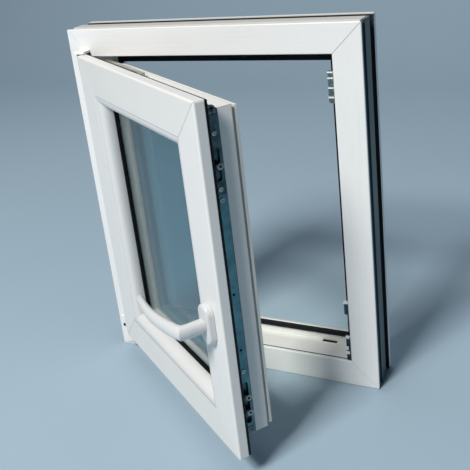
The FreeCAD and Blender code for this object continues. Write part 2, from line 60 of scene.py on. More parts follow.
# Node groups for effects that several finishes share.

def new_group(name, inputs, outputs):
    group = bpy.data.node_groups.new(name, "ShaderNodeTree")
    for label, kind, value in inputs:
        socket = group.interface.new_socket(label, in_out="INPUT", socket_type=kind)
        socket.default_value = value
    for label, kind in outputs:
        group.interface.new_socket(label, in_out="OUTPUT", socket_type=kind)
    start = group.nodes.new("NodeGroupInput")
    end = group.nodes.new("NodeGroupOutput")
    return group, start, end


def add(tree, kind, **settings):
    node = tree.nodes.new(kind)
    for key, value in settings.items():
        setattr(node, key, value)
    return node


def math_node(tree, operation, first, second=None):
    """Math node; each operand is a number or an output socket."""
    node = add(tree, "ShaderNodeMath", operation=operation)
    for i, operand in enumerate((first, second)):
        if operand is None:
            continue
        if isinstance(operand, (int, float)):
            node.inputs[i].default_value = operand
        else:
            tree.links.new(operand, node.inputs[i])
    return node.outputs[0]


def spread(tree, value, low, high, to_low=0.0, to_high=1.0):
    """Range of a value stretched to another range, smooth at both ends."""
    node = add(tree, "ShaderNodeMapRange", interpolation_type="SMOOTHSTEP")
    tree.links.new(value, node.inputs["Value"])
    node.inputs["From Min"].default_value = low
    node.inputs["From Max"].default_value = high
    node.inputs["To Min"].default_value = to_low
    node.inputs["To Max"].default_value = to_high
    return node.outputs["Result"]


def within(tree, value, low, high, soft):
    """Mask that is 1 where a value lies between two limits."""
    above = spread(tree, value, low - soft, low + soft)
    below = spread(tree, value, high + soft, high - soft)
    return math_node(tree, "MULTIPLY", above, below)


def noise(tree, place, scale, detail=3.0, roughness=0.55):
    node = add(tree, "ShaderNodeTexNoise")
    tree.links.new(place, node.inputs["Vector"])
    if isinstance(scale, (int, float)):
        node.inputs["Scale"].default_value = scale
    else:
        tree.links.new(scale, node.inputs["Scale"])
    node.inputs["Detail"].default_value = detail
    node.inputs["Roughness"].default_value = roughness
    return node.outputs["Fac"]


def split_axes(tree, place):
    node = add(tree, "ShaderNodeSeparateXYZ")
    tree.links.new(place, node.inputs["Vector"])
    return node.outputs


def use_group(tree, group, place, **values):
    node = add(tree, "ShaderNodeGroup", node_tree=group)
    tree.links.new(place, node.inputs["Place"])
    for label, value in values.items():
        socket = node.inputs[label.replace("_", " ")]
        if isinstance(value, (int, float)):
            socket.default_value = value
        elif isinstance(value, tuple):
            socket.default_value = (*value, 1)
        else:
            tree.links.new(value, socket)
    return node.outputs


def blend_colours(tree, mask, first, second):
    """Mix of two colours by a mask; each colour is three numbers or an output socket."""
    node = add(tree, "ShaderNodeMix", data_type="RGBA", blend_type="MIX")
    tree.links.new(mask, node.inputs["Factor"])
    for socket, colour in ((node.inputs[6], first), (node.inputs[7], second)):
        if isinstance(colour, tuple):
            socket.default_value = (*colour, 1)
        else:
            tree.links.new(colour, socket)
    return node.outputs[2]


def extruded_skin_group():
    """Faint drawn lines along a plastic profile, over a fine peel."""
    group, start, end = new_group(
        "extruded_skin",
        [("Place", "NodeSocketVector", (0, 0, 0)), ("Stretched Place", "NodeSocketVector", (0, 0, 0)),
         ("Peel Scale", "NodeSocketFloat", 1600.0), ("Line Scale", "NodeSocketFloat", 420.0)],
        [("Height", "NodeSocketFloat"), ("Lines", "NodeSocketFloat"), ("Tone", "NodeSocketFloat")])
    place = start.outputs["Place"]
    peel = noise(group, place, start.outputs["Peel Scale"], 2.0)
    lines = noise(group, start.outputs["Stretched Place"], start.outputs["Line Scale"], 2.0)
    tone = noise(group, place, 5.5, 4.0, 0.6)
    half_peel = math_node(group, "MULTIPLY", peel, 0.5)
    half_lines = math_node(group, "MULTIPLY", lines, 0.5)
    height = math_node(group, "ADD", half_peel, half_lines)
    group.links.new(height, end.inputs["Height"])
    group.links.new(lines, end.inputs["Lines"])
    group.links.new(spread(group, tone, 0.3, 0.7), end.inputs["Tone"])
    return group


def mitred_section_group():
    """Distance in from the edge of a mitred surround, and distance off its mitre lines."""
    group, start, end = new_group(
        "mitred_section",
        [("Place", "NodeSocketVector", (0, 0, 0)), ("Half Width", "NodeSocketFloat", 0.25),
         ("Half Height", "NodeSocketFloat", 0.3), ("Middle Height", "NodeSocketFloat", 0.3)],
        [("From Edge", "NodeSocketFloat"), ("Off Mitre", "NodeSocketFloat"), ("Depth", "NodeSocketFloat")])
    axes = split_axes(group, start.outputs["Place"])
    off_middle = math_node(group, "ABSOLUTE", axes["X"])
    from_side = math_node(group, "SUBTRACT", start.outputs["Half Width"], off_middle)
    above_middle = math_node(group, "SUBTRACT", axes["Z"], start.outputs["Middle Height"])
    rise = math_node(group, "ABSOLUTE", above_middle)
    from_end = math_node(group, "SUBTRACT", start.outputs["Half Height"], rise)
    group.links.new(math_node(group, "MINIMUM", from_side, from_end), end.inputs["From Edge"])
    off = math_node(group, "ABSOLUTE", math_node(group, "SUBTRACT", from_side, from_end))
    group.links.new(off, end.inputs["Off Mitre"])
    group.links.new(math_node(group, "SUBTRACT", axes["Y"], room_face * mm), end.inputs["Depth"])
    return group


def settled_dust_group():
    """Thin dust on what faces up, broken into patches."""
    group, start, end = new_group(
        "settled_dust",
        [("Place", "NodeSocketVector", (0, 0, 0)), ("Patch Scale", "NodeSocketFloat", 30.0),
         ("Amount", "NodeSocketFloat", 0.5)],
        [("Mask", "NodeSocketFloat")])
    geometry = add(group, "ShaderNodeNewGeometry")
    upward = spread(group, split_axes(group, geometry.outputs["Normal"])["Z"], 0.35, 0.95)
    cloud = noise(group, start.outputs["Place"], start.outputs["Patch Scale"], 5.0, 0.65)
    patches = math_node(group, "MULTIPLY", upward, spread(group, cloud, 0.35, 0.75))
    mask = math_node(group, "MULTIPLY", patches, start.outputs["Amount"])
    group.links.new(mask, end.inputs["Mask"])
    return group


def handling_marks_group():
    """Soft smears and a few short scuffs."""
    group, start, end = new_group(
        "handling_marks",
        [("Place", "NodeSocketVector", (0, 0, 0)), ("Smear Scale", "NodeSocketFloat", 22.0),
         ("Scuff Scale", "NodeSocketFloat", 120.0)],
        [("Smears", "NodeSocketFloat"), ("Scuffs", "NodeSocketFloat")])
    place = start.outputs["Place"]
    smears = spread(group, noise(group, place, start.outputs["Smear Scale"], 4.0, 0.6), 0.45, 0.8)
    fine = noise(group, place, start.outputs["Scuff Scale"], 3.0, 0.7)
    scuffs = math_node(group, "MULTIPLY", spread(group, fine, 0.66, 0.74), smears)
    group.links.new(smears, end.inputs["Smears"])
    group.links.new(scuffs, end.inputs["Scuffs"])
    return group


def rolled_metal_group():
    """Rolling lines, plating patches and small pits of plated sheet steel."""
    group, start, end = new_group(
        "rolled_metal",
        [("Place", "NodeSocketVector", (0, 0, 0)), ("Stretched Place", "NodeSocketVector", (0, 0, 0)),
         ("Patch Scale", "NodeSocketFloat", 60.0)],
        [("Lines", "NodeSocketFloat"), ("Patches", "NodeSocketFloat"), ("Pits", "NodeSocketFloat")])
    place = start.outputs["Place"]
    lines = noise(group, start.outputs["Stretched Place"], 420.0, 3.0, 0.6)
    patches = spread(group, noise(group, place, start.outputs["Patch Scale"], 5.0, 0.62), 0.3, 0.7)
    pits = spread(group, noise(group, place, 700.0, 2.0), 0.62, 0.78)
    group.links.new(lines, end.inputs["Lines"])
    group.links.new(patches, end.inputs["Patches"])
    group.links.new(pits, end.inputs["Pits"])
    return group


# Where the marks, the painted shade and the painted highlight lie, in metres: in from the edge, outdoors from
# the room face, along the sill and up.
weld_line = (0.0007, 0.0003)
wall_shade_in = (0.0072, 0.0068)
wall_shade_depth = (0.0025, 0.0605)
wall_groove_in = (0.0012, 0.0070)
wall_groove_depth = (0.0403, 0.0604)
clip_groove_in = (0.0410, 0.0449)
clip_groove_depth = (0.0048, 0.0077)
drain_slot_along = (0.1365, 0.1625)
drain_slot_height = (0.010, 0.0424)
drain_slot_depth = (0.0490, 0.0552)
lock_half = (-0.05, 0.05)
upper_half = (0.28, 0.32)
bead_joint_in = (0.0563, 0.0577)
sash_rim_in = (0.0262, 0.0257)
back_strip_depth = (0.0447, 0.0451)
rear_groove_in = (0.0214, 0.0219)
rear_groove_depth = (0.0406, 0.0451)
hinge_bead_along = (-0.130, -0.135)
bead_shade_in = (0.0690, 0.0755)
# Weld greys are the plastic's own marks; the other colours here are painted shade, except the back strip's
# painted highlight.
weld_grey = (0.26, 0.25, 0.26)
wall_groove_shade = (0.02, 0.022, 0.025)
clip_groove_shade = (0.09, 0.09, 0.085)
drain_slot_shade = (0.012, 0.012, 0.013)
sash_weld_grey = (0.28, 0.28, 0.28)
bead_joint_shade = (0.12, 0.12, 0.125)
back_strip_highlight = (0.87, 0.845, 0.77)
rear_groove_shade = (0.62, 0.61, 0.57)
bead_edge_shade = (0.30, 0.36, 0.41)


def frame_marks_and_shade_group():
    """Weld lines of the fixed frame, with painted shade on its wall side, in the wall-side groove, in the
    clip groove and in the drain slots.
    """
    group, start, end = new_group(
        "frame_marks_and_shade",
        [("Place", "NodeSocketVector", (0, 0, 0)), ("Plain Colour", "NodeSocketColor", (0.8, 0.8, 0.8, 1)),
         ("Wall Tint", "NodeSocketColor", (0.6, 0.6, 0.6, 1))],
        [("Colour", "NodeSocketColor")])
    place = start.outputs["Place"]
    section = use_group(group, mitred_section, place, Half_Width=frame_half_width,
                        Half_Height=frame_half_height, Middle_Height=middle_height)
    depth = section["Depth"]
    inward = section["From Edge"]
    axes = split_axes(group, place)
    upper_lock = math_node(group, "MULTIPLY", spread(group, axes["X"], *lock_half),
                           spread(group, axes["Z"], *upper_half))
    weld_strength = math_node(group, "ADD", math_node(group, "MULTIPLY", upper_lock, 0.5), 0.3)
    weld = math_node(group, "MULTIPLY", spread(group, section["Off Mitre"], *weld_line), weld_strength)
    welded = blend_colours(group, weld, start.outputs["Plain Colour"], weld_grey)
    # Painted shade on the wall side: grey-beige on the sill and head, dark teal with a painted blue
    # reflection on the jambs.
    wall_shade_mask = math_node(group, "MULTIPLY", spread(group, inward, *wall_shade_in),
                          within(group, depth, *wall_shade_depth, 0.0005))
    tinted = blend_colours(group, wall_shade_mask, welded, start.outputs["Wall Tint"])
    # Painted shade, near black, in the deep groove on the wall side.
    groove = math_node(group, "MULTIPLY", within(group, inward, *wall_groove_in, 0.0002),
                       within(group, depth, *wall_groove_depth, 0.0002))
    grooved = blend_colours(group, groove, tinted, wall_groove_shade)
    # Painted shade in the clip groove at the rebate edge.
    clip = math_node(group, "MULTIPLY", within(group, inward, *clip_groove_in, 0.0001),
                     within(group, depth, *clip_groove_depth, 0.0002))
    clip_shaded = blend_colours(group, clip, grooved, clip_groove_shade)
    # Painted shade inside the drain slots, reaching a little past their openings.
    off_middle = math_node(group, "ABSOLUTE", axes["X"])
    slot = math_node(group, "MULTIPLY", within(group, off_middle, *drain_slot_along, 0.0004),
                     within(group, axes["Z"], *drain_slot_height, 0.0002))
    slot = math_node(group, "MULTIPLY", slot, within(group, depth, *drain_slot_depth, 0.0002))
    group.links.new(blend_colours(group, slot, clip_shaded, drain_slot_shade), end.inputs["Colour"])
    return group


def sash_marks_shade_and_highlight_group():
    """Weld lines of the sash, as if shut, with painted shade in the bead joint, in the rear groove and on the
    hinge bead by the gasket, and a painted highlight on the back strip.
    """
    group, start, end = new_group(
        "sash_marks_shade_and_highlight",
        [("Place", "NodeSocketVector", (0, 0, 0)), ("Plain Colour", "NodeSocketColor", (0.8, 0.8, 0.8, 1)),
         ("Joint Strength", "NodeSocketFloat", 0.5)],
        [("Colour", "NodeSocketColor")])
    place = start.outputs["Place"]
    section = use_group(group, mitred_section, place, Half_Width=sash_half_width,
                        Half_Height=sash_half_height, Middle_Height=middle_height)
    depth = section["Depth"]
    inward = section["From Edge"]
    weld = spread(group, section["Off Mitre"], *weld_line, 0, 0.55)
    welded = blend_colours(group, weld, start.outputs["Plain Colour"], sash_weld_grey)
    # Painted shade in the crevice between the sash face and the bead.
    joint = math_node(group, "MULTIPLY", within(group, inward, *bead_joint_in, 0.0003),
                      start.outputs["Joint Strength"])
    joint_shaded = blend_colours(group, joint, welded, bead_joint_shade)
    rim = spread(group, inward, *sash_rim_in)
    # Painted highlight: the back strip is painted a lighter, warm cream, as if lit.
    strip = math_node(group, "MULTIPLY", rim, spread(group, depth, *back_strip_depth))
    warm = blend_colours(group, strip, joint_shaded, back_strip_highlight)
    groove = math_node(group, "MULTIPLY", rim, within(group, depth, *rear_groove_depth, 0.0002))
    groove = math_node(group, "MULTIPLY", groove, spread(group, inward, *rear_groove_in))
    grooved = blend_colours(group, groove, warm, rear_groove_shade)
    # Painted shade on the hinge bead, darker towards the gasket.
    hinge_side = spread(group, split_axes(group, place)["X"], *hinge_bead_along)
    hinge_bead_shade = math_node(group, "MULTIPLY", hinge_side, spread(group, inward, *bead_shade_in, 0, 0.35))
    group.links.new(blend_colours(group, hinge_bead_shade, grooved, bead_edge_shade), end.inputs["Colour"])
    return group


extruded_skin = extruded_skin_group()
mitred_section = mitred_section_group()
settled_dust = settled_dust_group()
handling_marks = handling_marks_group()
rolled_metal = rolled_metal_group()
frame_marks_and_shade = frame_marks_and_shade_group()
sash_marks_shade_and_highlight = sash_marks_shade_and_highlight_group()


# Finishes.

def new_finish(name):
    """Empty material with its shader and Object coordinates."""
    material = bpy.data.materials.new(name)
    material.use_nodes = True
    tree = material.node_tree
    shader = tree.nodes["Principled BSDF"]
    place = add(tree, "ShaderNodeTexCoord").outputs["Object"]
    return material, tree, shader, place


def mapped(tree, place, turn, stretch, shift=(0, 0, 0)):
    """Coordinates stretched, turned about Z and then shifted."""
    mapping = add(tree, "ShaderNodeMapping", vector_type="POINT")
    mapping.inputs["Rotation"].default_value = (0, 0, math.radians(turn))
    mapping.inputs["Scale"].default_value = stretch
    mapping.inputs["Location"].default_value = shift
    tree.links.new(place, mapping.inputs["Vector"])
    return mapping.outputs["Vector"]


def shut_place(tree, place):
    """Coordinates on the sash as if it were shut."""
    turned = Matrix.Rotation(math.radians(open_angle), 3, "Z")
    return mapped(tree, place, open_angle, (1, 1, 1), hinge_line - turned @ hinge_line)


def bump(tree, height, strength, distance, shader):
    node = add(tree, "ShaderNodeBump")
    node.inputs["Strength"].default_value = strength
    node.inputs["Distance"].default_value = distance
    tree.links.new(height, node.inputs["Height"])
    tree.links.new(node.outputs["Normal"], shader.inputs["Normal"])


streak_grey = (0.70, 0.71, 0.69)
scuff_grey = (0.62, 0.61, 0.60)
dust_beige = (0.78, 0.765, 0.72)


def white_profile(name, colour, shade, turn, stretch, marks_and_painted_light, painted_shade_values, gloss=0.27, dust=0.2):
    """Extruded white plastic with drawn lines along the member, and the marks, painted shade and painted
    highlight of the frame or the sash.
    """
    material, tree, shader, place = new_finish(name)
    skin = use_group(tree, extruded_skin, place, Stretched_Place=mapped(tree, place, turn, stretch))
    marks = use_group(tree, handling_marks, place)
    film = use_group(tree, settled_dust, place, Amount=dust)
    body = blend_colours(tree, skin["Tone"], colour, shade)
    streaks = math_node(tree, "MULTIPLY", spread(tree, skin["Lines"], 0.5, 0.8), 0.25)
    drawn = blend_colours(tree, streaks, body, streak_grey)
    scuffs = math_node(tree, "MULTIPLY", marks["Scuffs"], 0.12)
    marked = blend_colours(tree, scuffs, drawn, scuff_grey)
    dusty = blend_colours(tree, film["Mask"], marked, dust_beige)
    marks_place = shut_place(tree, place) if marks_and_painted_light is sash_marks_shade_and_highlight else place
    finished = use_group(tree, marks_and_painted_light, marks_place, Plain_Colour=dusty, **painted_shade_values)
    tree.links.new(finished["Colour"], shader.inputs["Base Color"])
    rough = math_node(tree, "ADD", math_node(tree, "MULTIPLY", skin["Lines"], 0.05),
                      math_node(tree, "MULTIPLY", marks["Smears"], 0.03))
    rough = math_node(tree, "ADD", math_node(tree, "MULTIPLY", film["Mask"], 0.12), rough)
    tree.links.new(math_node(tree, "ADD", rough, gloss), shader.inputs["Roughness"])
    bump(tree, skin["Height"], 0.015, 0.0001, shader)
    return material


def moulded_white(name, colour, shade, gloss=0.3, grain=2200.0):
    """Moulded white plastic or paint, with a fine peel and light smears."""
    material, tree, shader, place = new_finish(name)
    skin = use_group(tree, extruded_skin, place, Stretched_Place=place, Peel_Scale=grain,
                     Line_Scale=grain / 3)
    marks = use_group(tree, handling_marks, place, Smear_Scale=45.0)
    body = blend_colours(tree, skin["Tone"], colour, shade)
    marked = blend_colours(tree, math_node(tree, "MULTIPLY", marks["Scuffs"], 0.06), body, (0.60, 0.60, 0.60))
    tree.links.new(marked, shader.inputs["Base Color"])
    rough = math_node(tree, "MULTIPLY", marks["Smears"], 0.03)
    tree.links.new(math_node(tree, "ADD", rough, gloss), shader.inputs["Roughness"])
    bump(tree, skin["Height"], 0.015, 0.0001, shader)
    return material


def black_rubber(name, dust=0.1):
    """Black rubber with a grey bloom and dust on top."""
    material, tree, shader, place = new_finish(name)
    marks = use_group(tree, handling_marks, place, Smear_Scale=60.0, Scuff_Scale=500.0)
    film = use_group(tree, settled_dust, place, Amount=dust, Patch_Scale=120.0)
    body = blend_colours(tree, math_node(tree, "MULTIPLY", marks["Smears"], 0.5), (0.003, 0.0035, 0.005),
                         (0.008, 0.009, 0.012))
    dusty = blend_colours(tree, film["Mask"], body, (0.04, 0.04, 0.04))
    tree.links.new(dusty, shader.inputs["Base Color"])
    shader.inputs["Specular IOR Level"].default_value = 0.2
    tree.links.new(math_node(tree, "ADD", math_node(tree, "MULTIPLY", marks["Smears"], 0.15), 0.5),
                   shader.inputs["Roughness"])
    bump(tree, noise(tree, place, 1500.0, 2.0), 0.1, 0.0001, shader)
    return material


def plated_metal(name, light, dark, turn, stretch, gloss=0.3, patch=60.0, grain=0.08):
    """Plated steel with rolling lines, cloudy plating and small pits."""
    material, tree, shader, place = new_finish(name)
    sheet = use_group(tree, rolled_metal, place, Stretched_Place=mapped(tree, place, turn, stretch),
                      Patch_Scale=patch)
    body = blend_colours(tree, sheet["Patches"], light, dark)
    stained = blend_colours(tree, math_node(tree, "MULTIPLY", sheet["Pits"], 0.5), body, (0.10, 0.10, 0.10))
    tree.links.new(stained, shader.inputs["Base Color"])
    shader.inputs["Metallic"].default_value = 1.0
    rough = math_node(tree, "ADD", math_node(tree, "MULTIPLY", sheet["Lines"], 0.12),
                      math_node(tree, "MULTIPLY", sheet["Patches"], 0.10))
    tree.links.new(math_node(tree, "ADD", rough, gloss - 0.1), shader.inputs["Roughness"])
    bump(tree, sheet["Lines"], grain, 0.0002, shader)
    return material


def float_glass(name, tint, film_tint, shadow_tint):
    """Float glass tinted by its body and coating; shadows and bounced light pass straight through it."""
    material, tree, shader, place = new_finish(name)
    shader.inputs["Transmission Weight"].default_value = 1.0
    shader.inputs["IOR"].default_value = 1.5
    film = spread(tree, noise(tree, place, 7.0, 4.0, 0.6), 0.4, 0.8)
    tree.links.new(blend_colours(tree, film, tint, film_tint), shader.inputs["Base Color"])
    tree.links.new(math_node(tree, "MULTIPLY", film, 0.012), shader.inputs["Roughness"])
    clear = add(tree, "ShaderNodeBsdfTransparent")
    clear.inputs["Color"].default_value = (*shadow_tint, 1)
    rays = add(tree, "ShaderNodeLightPath")
    either = add(tree, "ShaderNodeMixShader")
    soft_rays = math_node(tree, "MAXIMUM", rays.outputs["Is Shadow Ray"], rays.outputs["Is Diffuse Ray"])
    tree.links.new(soft_rays, either.inputs["Fac"])
    tree.links.new(shader.outputs["BSDF"], either.inputs[1])
    tree.links.new(clear.outputs["BSDF"], either.inputs[2])
    tree.links.new(either.outputs["Shader"], tree.nodes["Material Output"].inputs["Surface"])
    return material


def perforated_spacer(name):
    """Mill-finished aluminium spacer with rows of small breather holes."""
    material, tree, shader, place = new_finish(name)
    sheet = use_group(tree, rolled_metal, place, Stretched_Place=place, Patch_Scale=40.0)
    cells = add(tree, "ShaderNodeTexVoronoi")
    tree.links.new(place, cells.inputs["Vector"])
    cells.inputs["Scale"].default_value = 280.0
    cells.inputs["Randomness"].default_value = 0.15
    holes = spread(tree, cells.outputs["Distance"], 0.18, 0.10)
    body = blend_colours(tree, sheet["Patches"], (0.56, 0.58, 0.54), (0.48, 0.51, 0.48))
    pierced = blend_colours(tree, math_node(tree, "MULTIPLY", holes, 0.5), body, (0.28, 0.29, 0.28))
    tree.links.new(pierced, shader.inputs["Base Color"])
    rough = math_node(tree, "ADD", math_node(tree, "MULTIPLY", sheet["Lines"], 0.2), 0.4)
    tree.links.new(rough, shader.inputs["Roughness"])
    shader.inputs["Metallic"].default_value = 0.3
    return material


along_x = (0.04, 1, 1)
along_z = (1, 1, 0.04)
even = (1, 1, 1)
white = (0.855, 0.853, 0.84)
white_shade = (0.835, 0.836, 0.83)
bead_colour = (0.75, 0.745, 0.73)
bead_shade = (0.735, 0.732, 0.72)
# Painted shade of the frame's wall side: lighter grey-beige on the sill and head, dark teal painted shade and
# reflection on the jambs.
level_wall_shade = {"Wall_Tint": (0.62, 0.60, 0.56)}
upright_wall_shade = {"Wall_Tint": (0.008, 0.050, 0.072)}
# Strength of the painted shade at the bead joint: strong on the rails, faint on the stiles.
level_joint_shade = {"Joint_Strength": 0.55}
upright_joint_shade = {"Joint_Strength": 0.06}
finishes = {
    "frame_level": white_profile("frame_white_level", white, white_shade, 0, along_x, frame_marks_and_shade, level_wall_shade,
                                 dust=0.3),
    "frame_upright": white_profile("frame_white_upright", white, white_shade, 0, along_z, frame_marks_and_shade,
                                   upright_wall_shade),
    # The rails' white is a darker, warmer copy of the stiles' white: painted shade.
    "sash_level": white_profile("sash_white_level", (0.825, 0.808, 0.775), (0.805, 0.792, 0.765), open_angle,
                                along_x, sash_marks_shade_and_highlight, level_joint_shade, dust=0.1),
    "sash_upright": white_profile("sash_white_upright", (0.84, 0.832, 0.81), (0.82, 0.816, 0.80), 0, along_z,
                                  sash_marks_shade_and_highlight, upright_joint_shade),
    "bead_level": white_profile("bead_white_level", bead_colour, bead_shade, open_angle, along_x, sash_marks_shade_and_highlight,
                                level_joint_shade, gloss=0.28, dust=0.0),
    "bead_upright": white_profile("bead_white_upright", bead_colour, bead_shade, 0, along_z, sash_marks_shade_and_highlight,
                                  upright_joint_shade, gloss=0.28, dust=0.0),
    "cover": moulded_white("cover_white", (0.85, 0.85, 0.84), (0.83, 0.832, 0.828), gloss=0.33),
    "flash": moulded_white("weld_flash_white", (0.42, 0.43, 0.42), (0.12, 0.13, 0.14),
                           gloss=0.5, grain=300.0),
    "handle": moulded_white("handle_white", (0.685, 0.695, 0.70), (0.67, 0.68, 0.685), gloss=0.26),
    "rubber": black_rubber("gasket_black"),
    "seal": black_rubber("edge_seal_black", dust=0.0),
    "clear_pane": float_glass("clear_pane_glass",
                              (0.68, 0.79, 0.81), (0.65, 0.77, 0.80), (0.985, 0.988, 0.978)),
    "coated_pane": float_glass("coated_pane_glass",
                               (0.10, 0.31, 0.38), (0.08, 0.28, 0.35), (0.975, 0.98, 0.96)),
    "spacer": perforated_spacer("spacer_aluminium"),
    "gear": plated_metal("gear_zinc", (0.085, 0.150, 0.170), (0.034, 0.066, 0.078), 0, along_z, gloss=0.32),
    # The lower plates are a lighter, bluer copy of the gear zinc: a painted reflection.
    "gear_low": plated_metal("gear_zinc_painted_reflection", (0.115, 0.25, 0.295), (0.07, 0.165, 0.20), 0, along_z,
                             gloss=0.32, patch=45.0),
    "guide": plated_metal("guide_zinc", (0.40, 0.40, 0.37), (0.22, 0.21, 0.19), open_angle, along_x,
                          gloss=0.33),
    # The stay arm is painted paler than its steel: painted light that lifts it out of the head's shade.
    "arm": plated_metal("arm_steel", (0.62, 0.60, 0.53), (0.48, 0.46, 0.40), open_angle, along_x,
                        gloss=0.42, patch=70.0, grain=0.3),
    "keep": plated_metal("keep_zinc", (0.10, 0.15, 0.17), (0.045, 0.07, 0.08), 0, along_z,
                         gloss=0.36, patch=90.0),
    "keep_pale": plated_metal("keep_zinc_pale", (0.50, 0.56, 0.55), (0.24, 0.29, 0.30), 0, along_z,
                              gloss=0.36, patch=260.0, grain=0.3),
    "cam": plated_metal("cam_steel", (0.36, 0.38, 0.39), (0.22, 0.24, 0.25), 0, even,
                        gloss=0.24, patch=120.0),
    "screw": plated_metal("screw_zinc", (0.42, 0.46, 0.48), (0.28, 0.31, 0.33), 0, even,
                          gloss=0.22, patch=150.0),
    "cast": plated_metal("cast_zinc", (0.30, 0.34, 0.34), (0.07, 0.09, 0.10), 0, even,
                         gloss=0.42, patch=320.0, grain=0.5),
    "dark_steel": plated_metal("adjuster_steel", (0.06, 0.06, 0.065), (0.03, 0.03, 0.03), 0, even,
                               gloss=0.45, patch=200.0),
}

worn_by = {
    "frame_level": ["frame_sill", "frame_head"],
    "frame_upright": ["frame_jamb_hinge", "frame_jamb_lock"],
    "sash_level": ["sash_bottom_rail", "sash_top_rail"],
    "sash_upright": ["sash_hinge_stile", "sash_lock_stile"],
    "cover": ["lower_hinge_bearing", "lower_hinge_leaf", "stay_bearing_cap"],
    "handle": ["handle_rosette", "handle_lever"],
    "rubber": ["frame_gasket", "sash_gasket", "glazing_gasket_room", "glazing_gasket_outdoor"],
    "clear_pane": ["glass_room"],
    "coated_pane": ["glass_outdoor"],
    "spacer": ["spacer_bar"],
    "gear": ["corner_drive_top", "drive_rail"],
    "gear_low": ["corner_drive_bottom", "gear_plate", "extension_plate"],
    "guide": ["stay_guide", "stay_bearing"],
    "arm": ["stay_arm"],
    "keep": ["keep_lower", "tilt_keep"],
    "keep_pale": ["keep_upper"],
    "cam": ["lock_cam_upper", "lock_cam_lower", "tilt_cam"],
}
for finish, names in worn_by.items():
    for name in names:
        nodes[name].material_slots[0].material = finishes[finish]


# Ways of working a mesh by hand.

def clear_selection():
    bpy.ops.object.select_all(action="DESELECT")


def settle(piece):
    """Put a piece's place and size into its mesh."""
    clear_selection()
    piece.select_set(True)
    bpy.context.view_layer.objects.active = piece
    bpy.ops.object.transform_apply(location=True, rotation=True, scale=True)


def new_block(name, low, high):
    """Block between two corners given as x, depth and z in millimetres."""
    clear_selection()
    start = at(*low)
    end = at(*high)
    bpy.ops.mesh.primitive_cube_add(size=1, location=(start + end) / 2)
    piece = bpy.context.object
    piece.name = name
    piece.scale = end - start
    settle(piece)
    return piece


def new_drum(name, base, radius, length, axis, sides=32):
    """Drum standing on a base point, along x, depth or z, in millimetres."""
    clear_selection()
    turns = {"x": (0, math.radians(90), 0), "depth": (math.radians(-90), 0, 0), "z": (0, 0, 0)}
    ways = {"x": Vector((1, 0, 0)), "depth": Vector((0, 1, 0)), "z": Vector((0, 0, 1))}
    middle = at(*base) + ways[axis] * length * mm / 2
    bpy.ops.mesh.primitive_cylinder_add(vertices=sides, radius=radius * mm, depth=length * mm,
                                        location=middle, rotation=turns[axis])
    piece = bpy.context.object
    piece.name = name
    settle(piece)
    return piece


def edit(piece):
    clear_selection()
    piece.select_set(True)
    bpy.context.view_layer.objects.active = piece
    bpy.ops.object.mode_set(mode="EDIT")
    bpy.ops.mesh.select_all(action="DESELECT")


def choose(piece, kind, wanted):
    """Select the faces, edges or corners that a test accepts."""
    bpy.ops.mesh.select_mode(type=kind)
    bpy.ops.mesh.select_all(action="DESELECT")
    shape = bmesh.from_edit_mesh(piece.data)
    items = {"FACE": shape.faces, "EDGE": shape.edges, "VERT": shape.verts}[kind]
    for item in items:
        if wanted(item):
            item.select_set(True)
    shape.select_flush_mode()
    bmesh.update_edit_mesh(piece.data)


def done():
    bpy.ops.object.mode_set(mode="OBJECT")


def near(value, wanted, slack=0.00002):
    return abs(value - wanted) < slack


def edges_at(axis, value):
    """Test for edges that lie in a plane square to an axis."""
    return lambda edge: all(near(corner.co[axis], value) for corner in edge.verts)


def edges_along(axis):
    """Test for edges that run along an axis."""
    def wanted(edge):
        run = (edge.verts[1].co - edge.verts[0].co).normalized()
        return abs(run[axis]) > 0.99
    return wanted


def round_edges(piece, wanted, width, steps):
    edit(piece)
    choose(piece, "EDGE", wanted)
    bpy.ops.mesh.bevel(offset=width * mm, segments=steps, affect="EDGES", clamp_overlap=True)
    done()


def carve(piece, cutter):
    """Cut one piece's shape out of another, and drop the cutter."""
    clear_selection()
    piece.select_set(True)
    bpy.context.view_layer.objects.active = piece
    cut = piece.modifiers.new("cut", "BOOLEAN")
    cut.operation = "DIFFERENCE"
    cut.solver = "EXACT"
    cut.object = cutter
    bpy.ops.object.modifier_apply(modifier=cut.name)
    clear_selection()
    cutter.select_set(True)
    bpy.ops.object.delete()


def join(name, pieces):
    clear_selection()
    for piece in pieces:
        piece.select_set(True)
    bpy.context.view_layer.objects.active = pieces[0]
    if len(pieces) > 1:
        bpy.ops.object.join()
    pieces[0].name = name
    return pieces[0]


def copy_to(piece, name, shift):
    """Copy with its own mesh, moved by millimetres."""
    clear_selection()
    piece.select_set(True)
    bpy.context.view_layer.objects.active = piece
    bpy.ops.object.duplicate(linked=False)
    copy = bpy.context.object
    copy.name = name
    copy.location = Vector(shift) * mm
    settle(copy)
    return copy


def hang(piece, body, slot, finish, *stands_for):
    """Give a piece its finish, turn it open if it is on the sash, and make it move with its body."""
    if body != "frame":
        piece.matrix_world = open_sash
    settle(piece)
    bpy.ops.object.shade_smooth_by_angle(angle=math.radians(32))
    piece.data.materials.clear()
    piece.data.materials.append(finishes[finish])
    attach(piece, body)
    for node in stands_for:
        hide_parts(node)


# Handle.

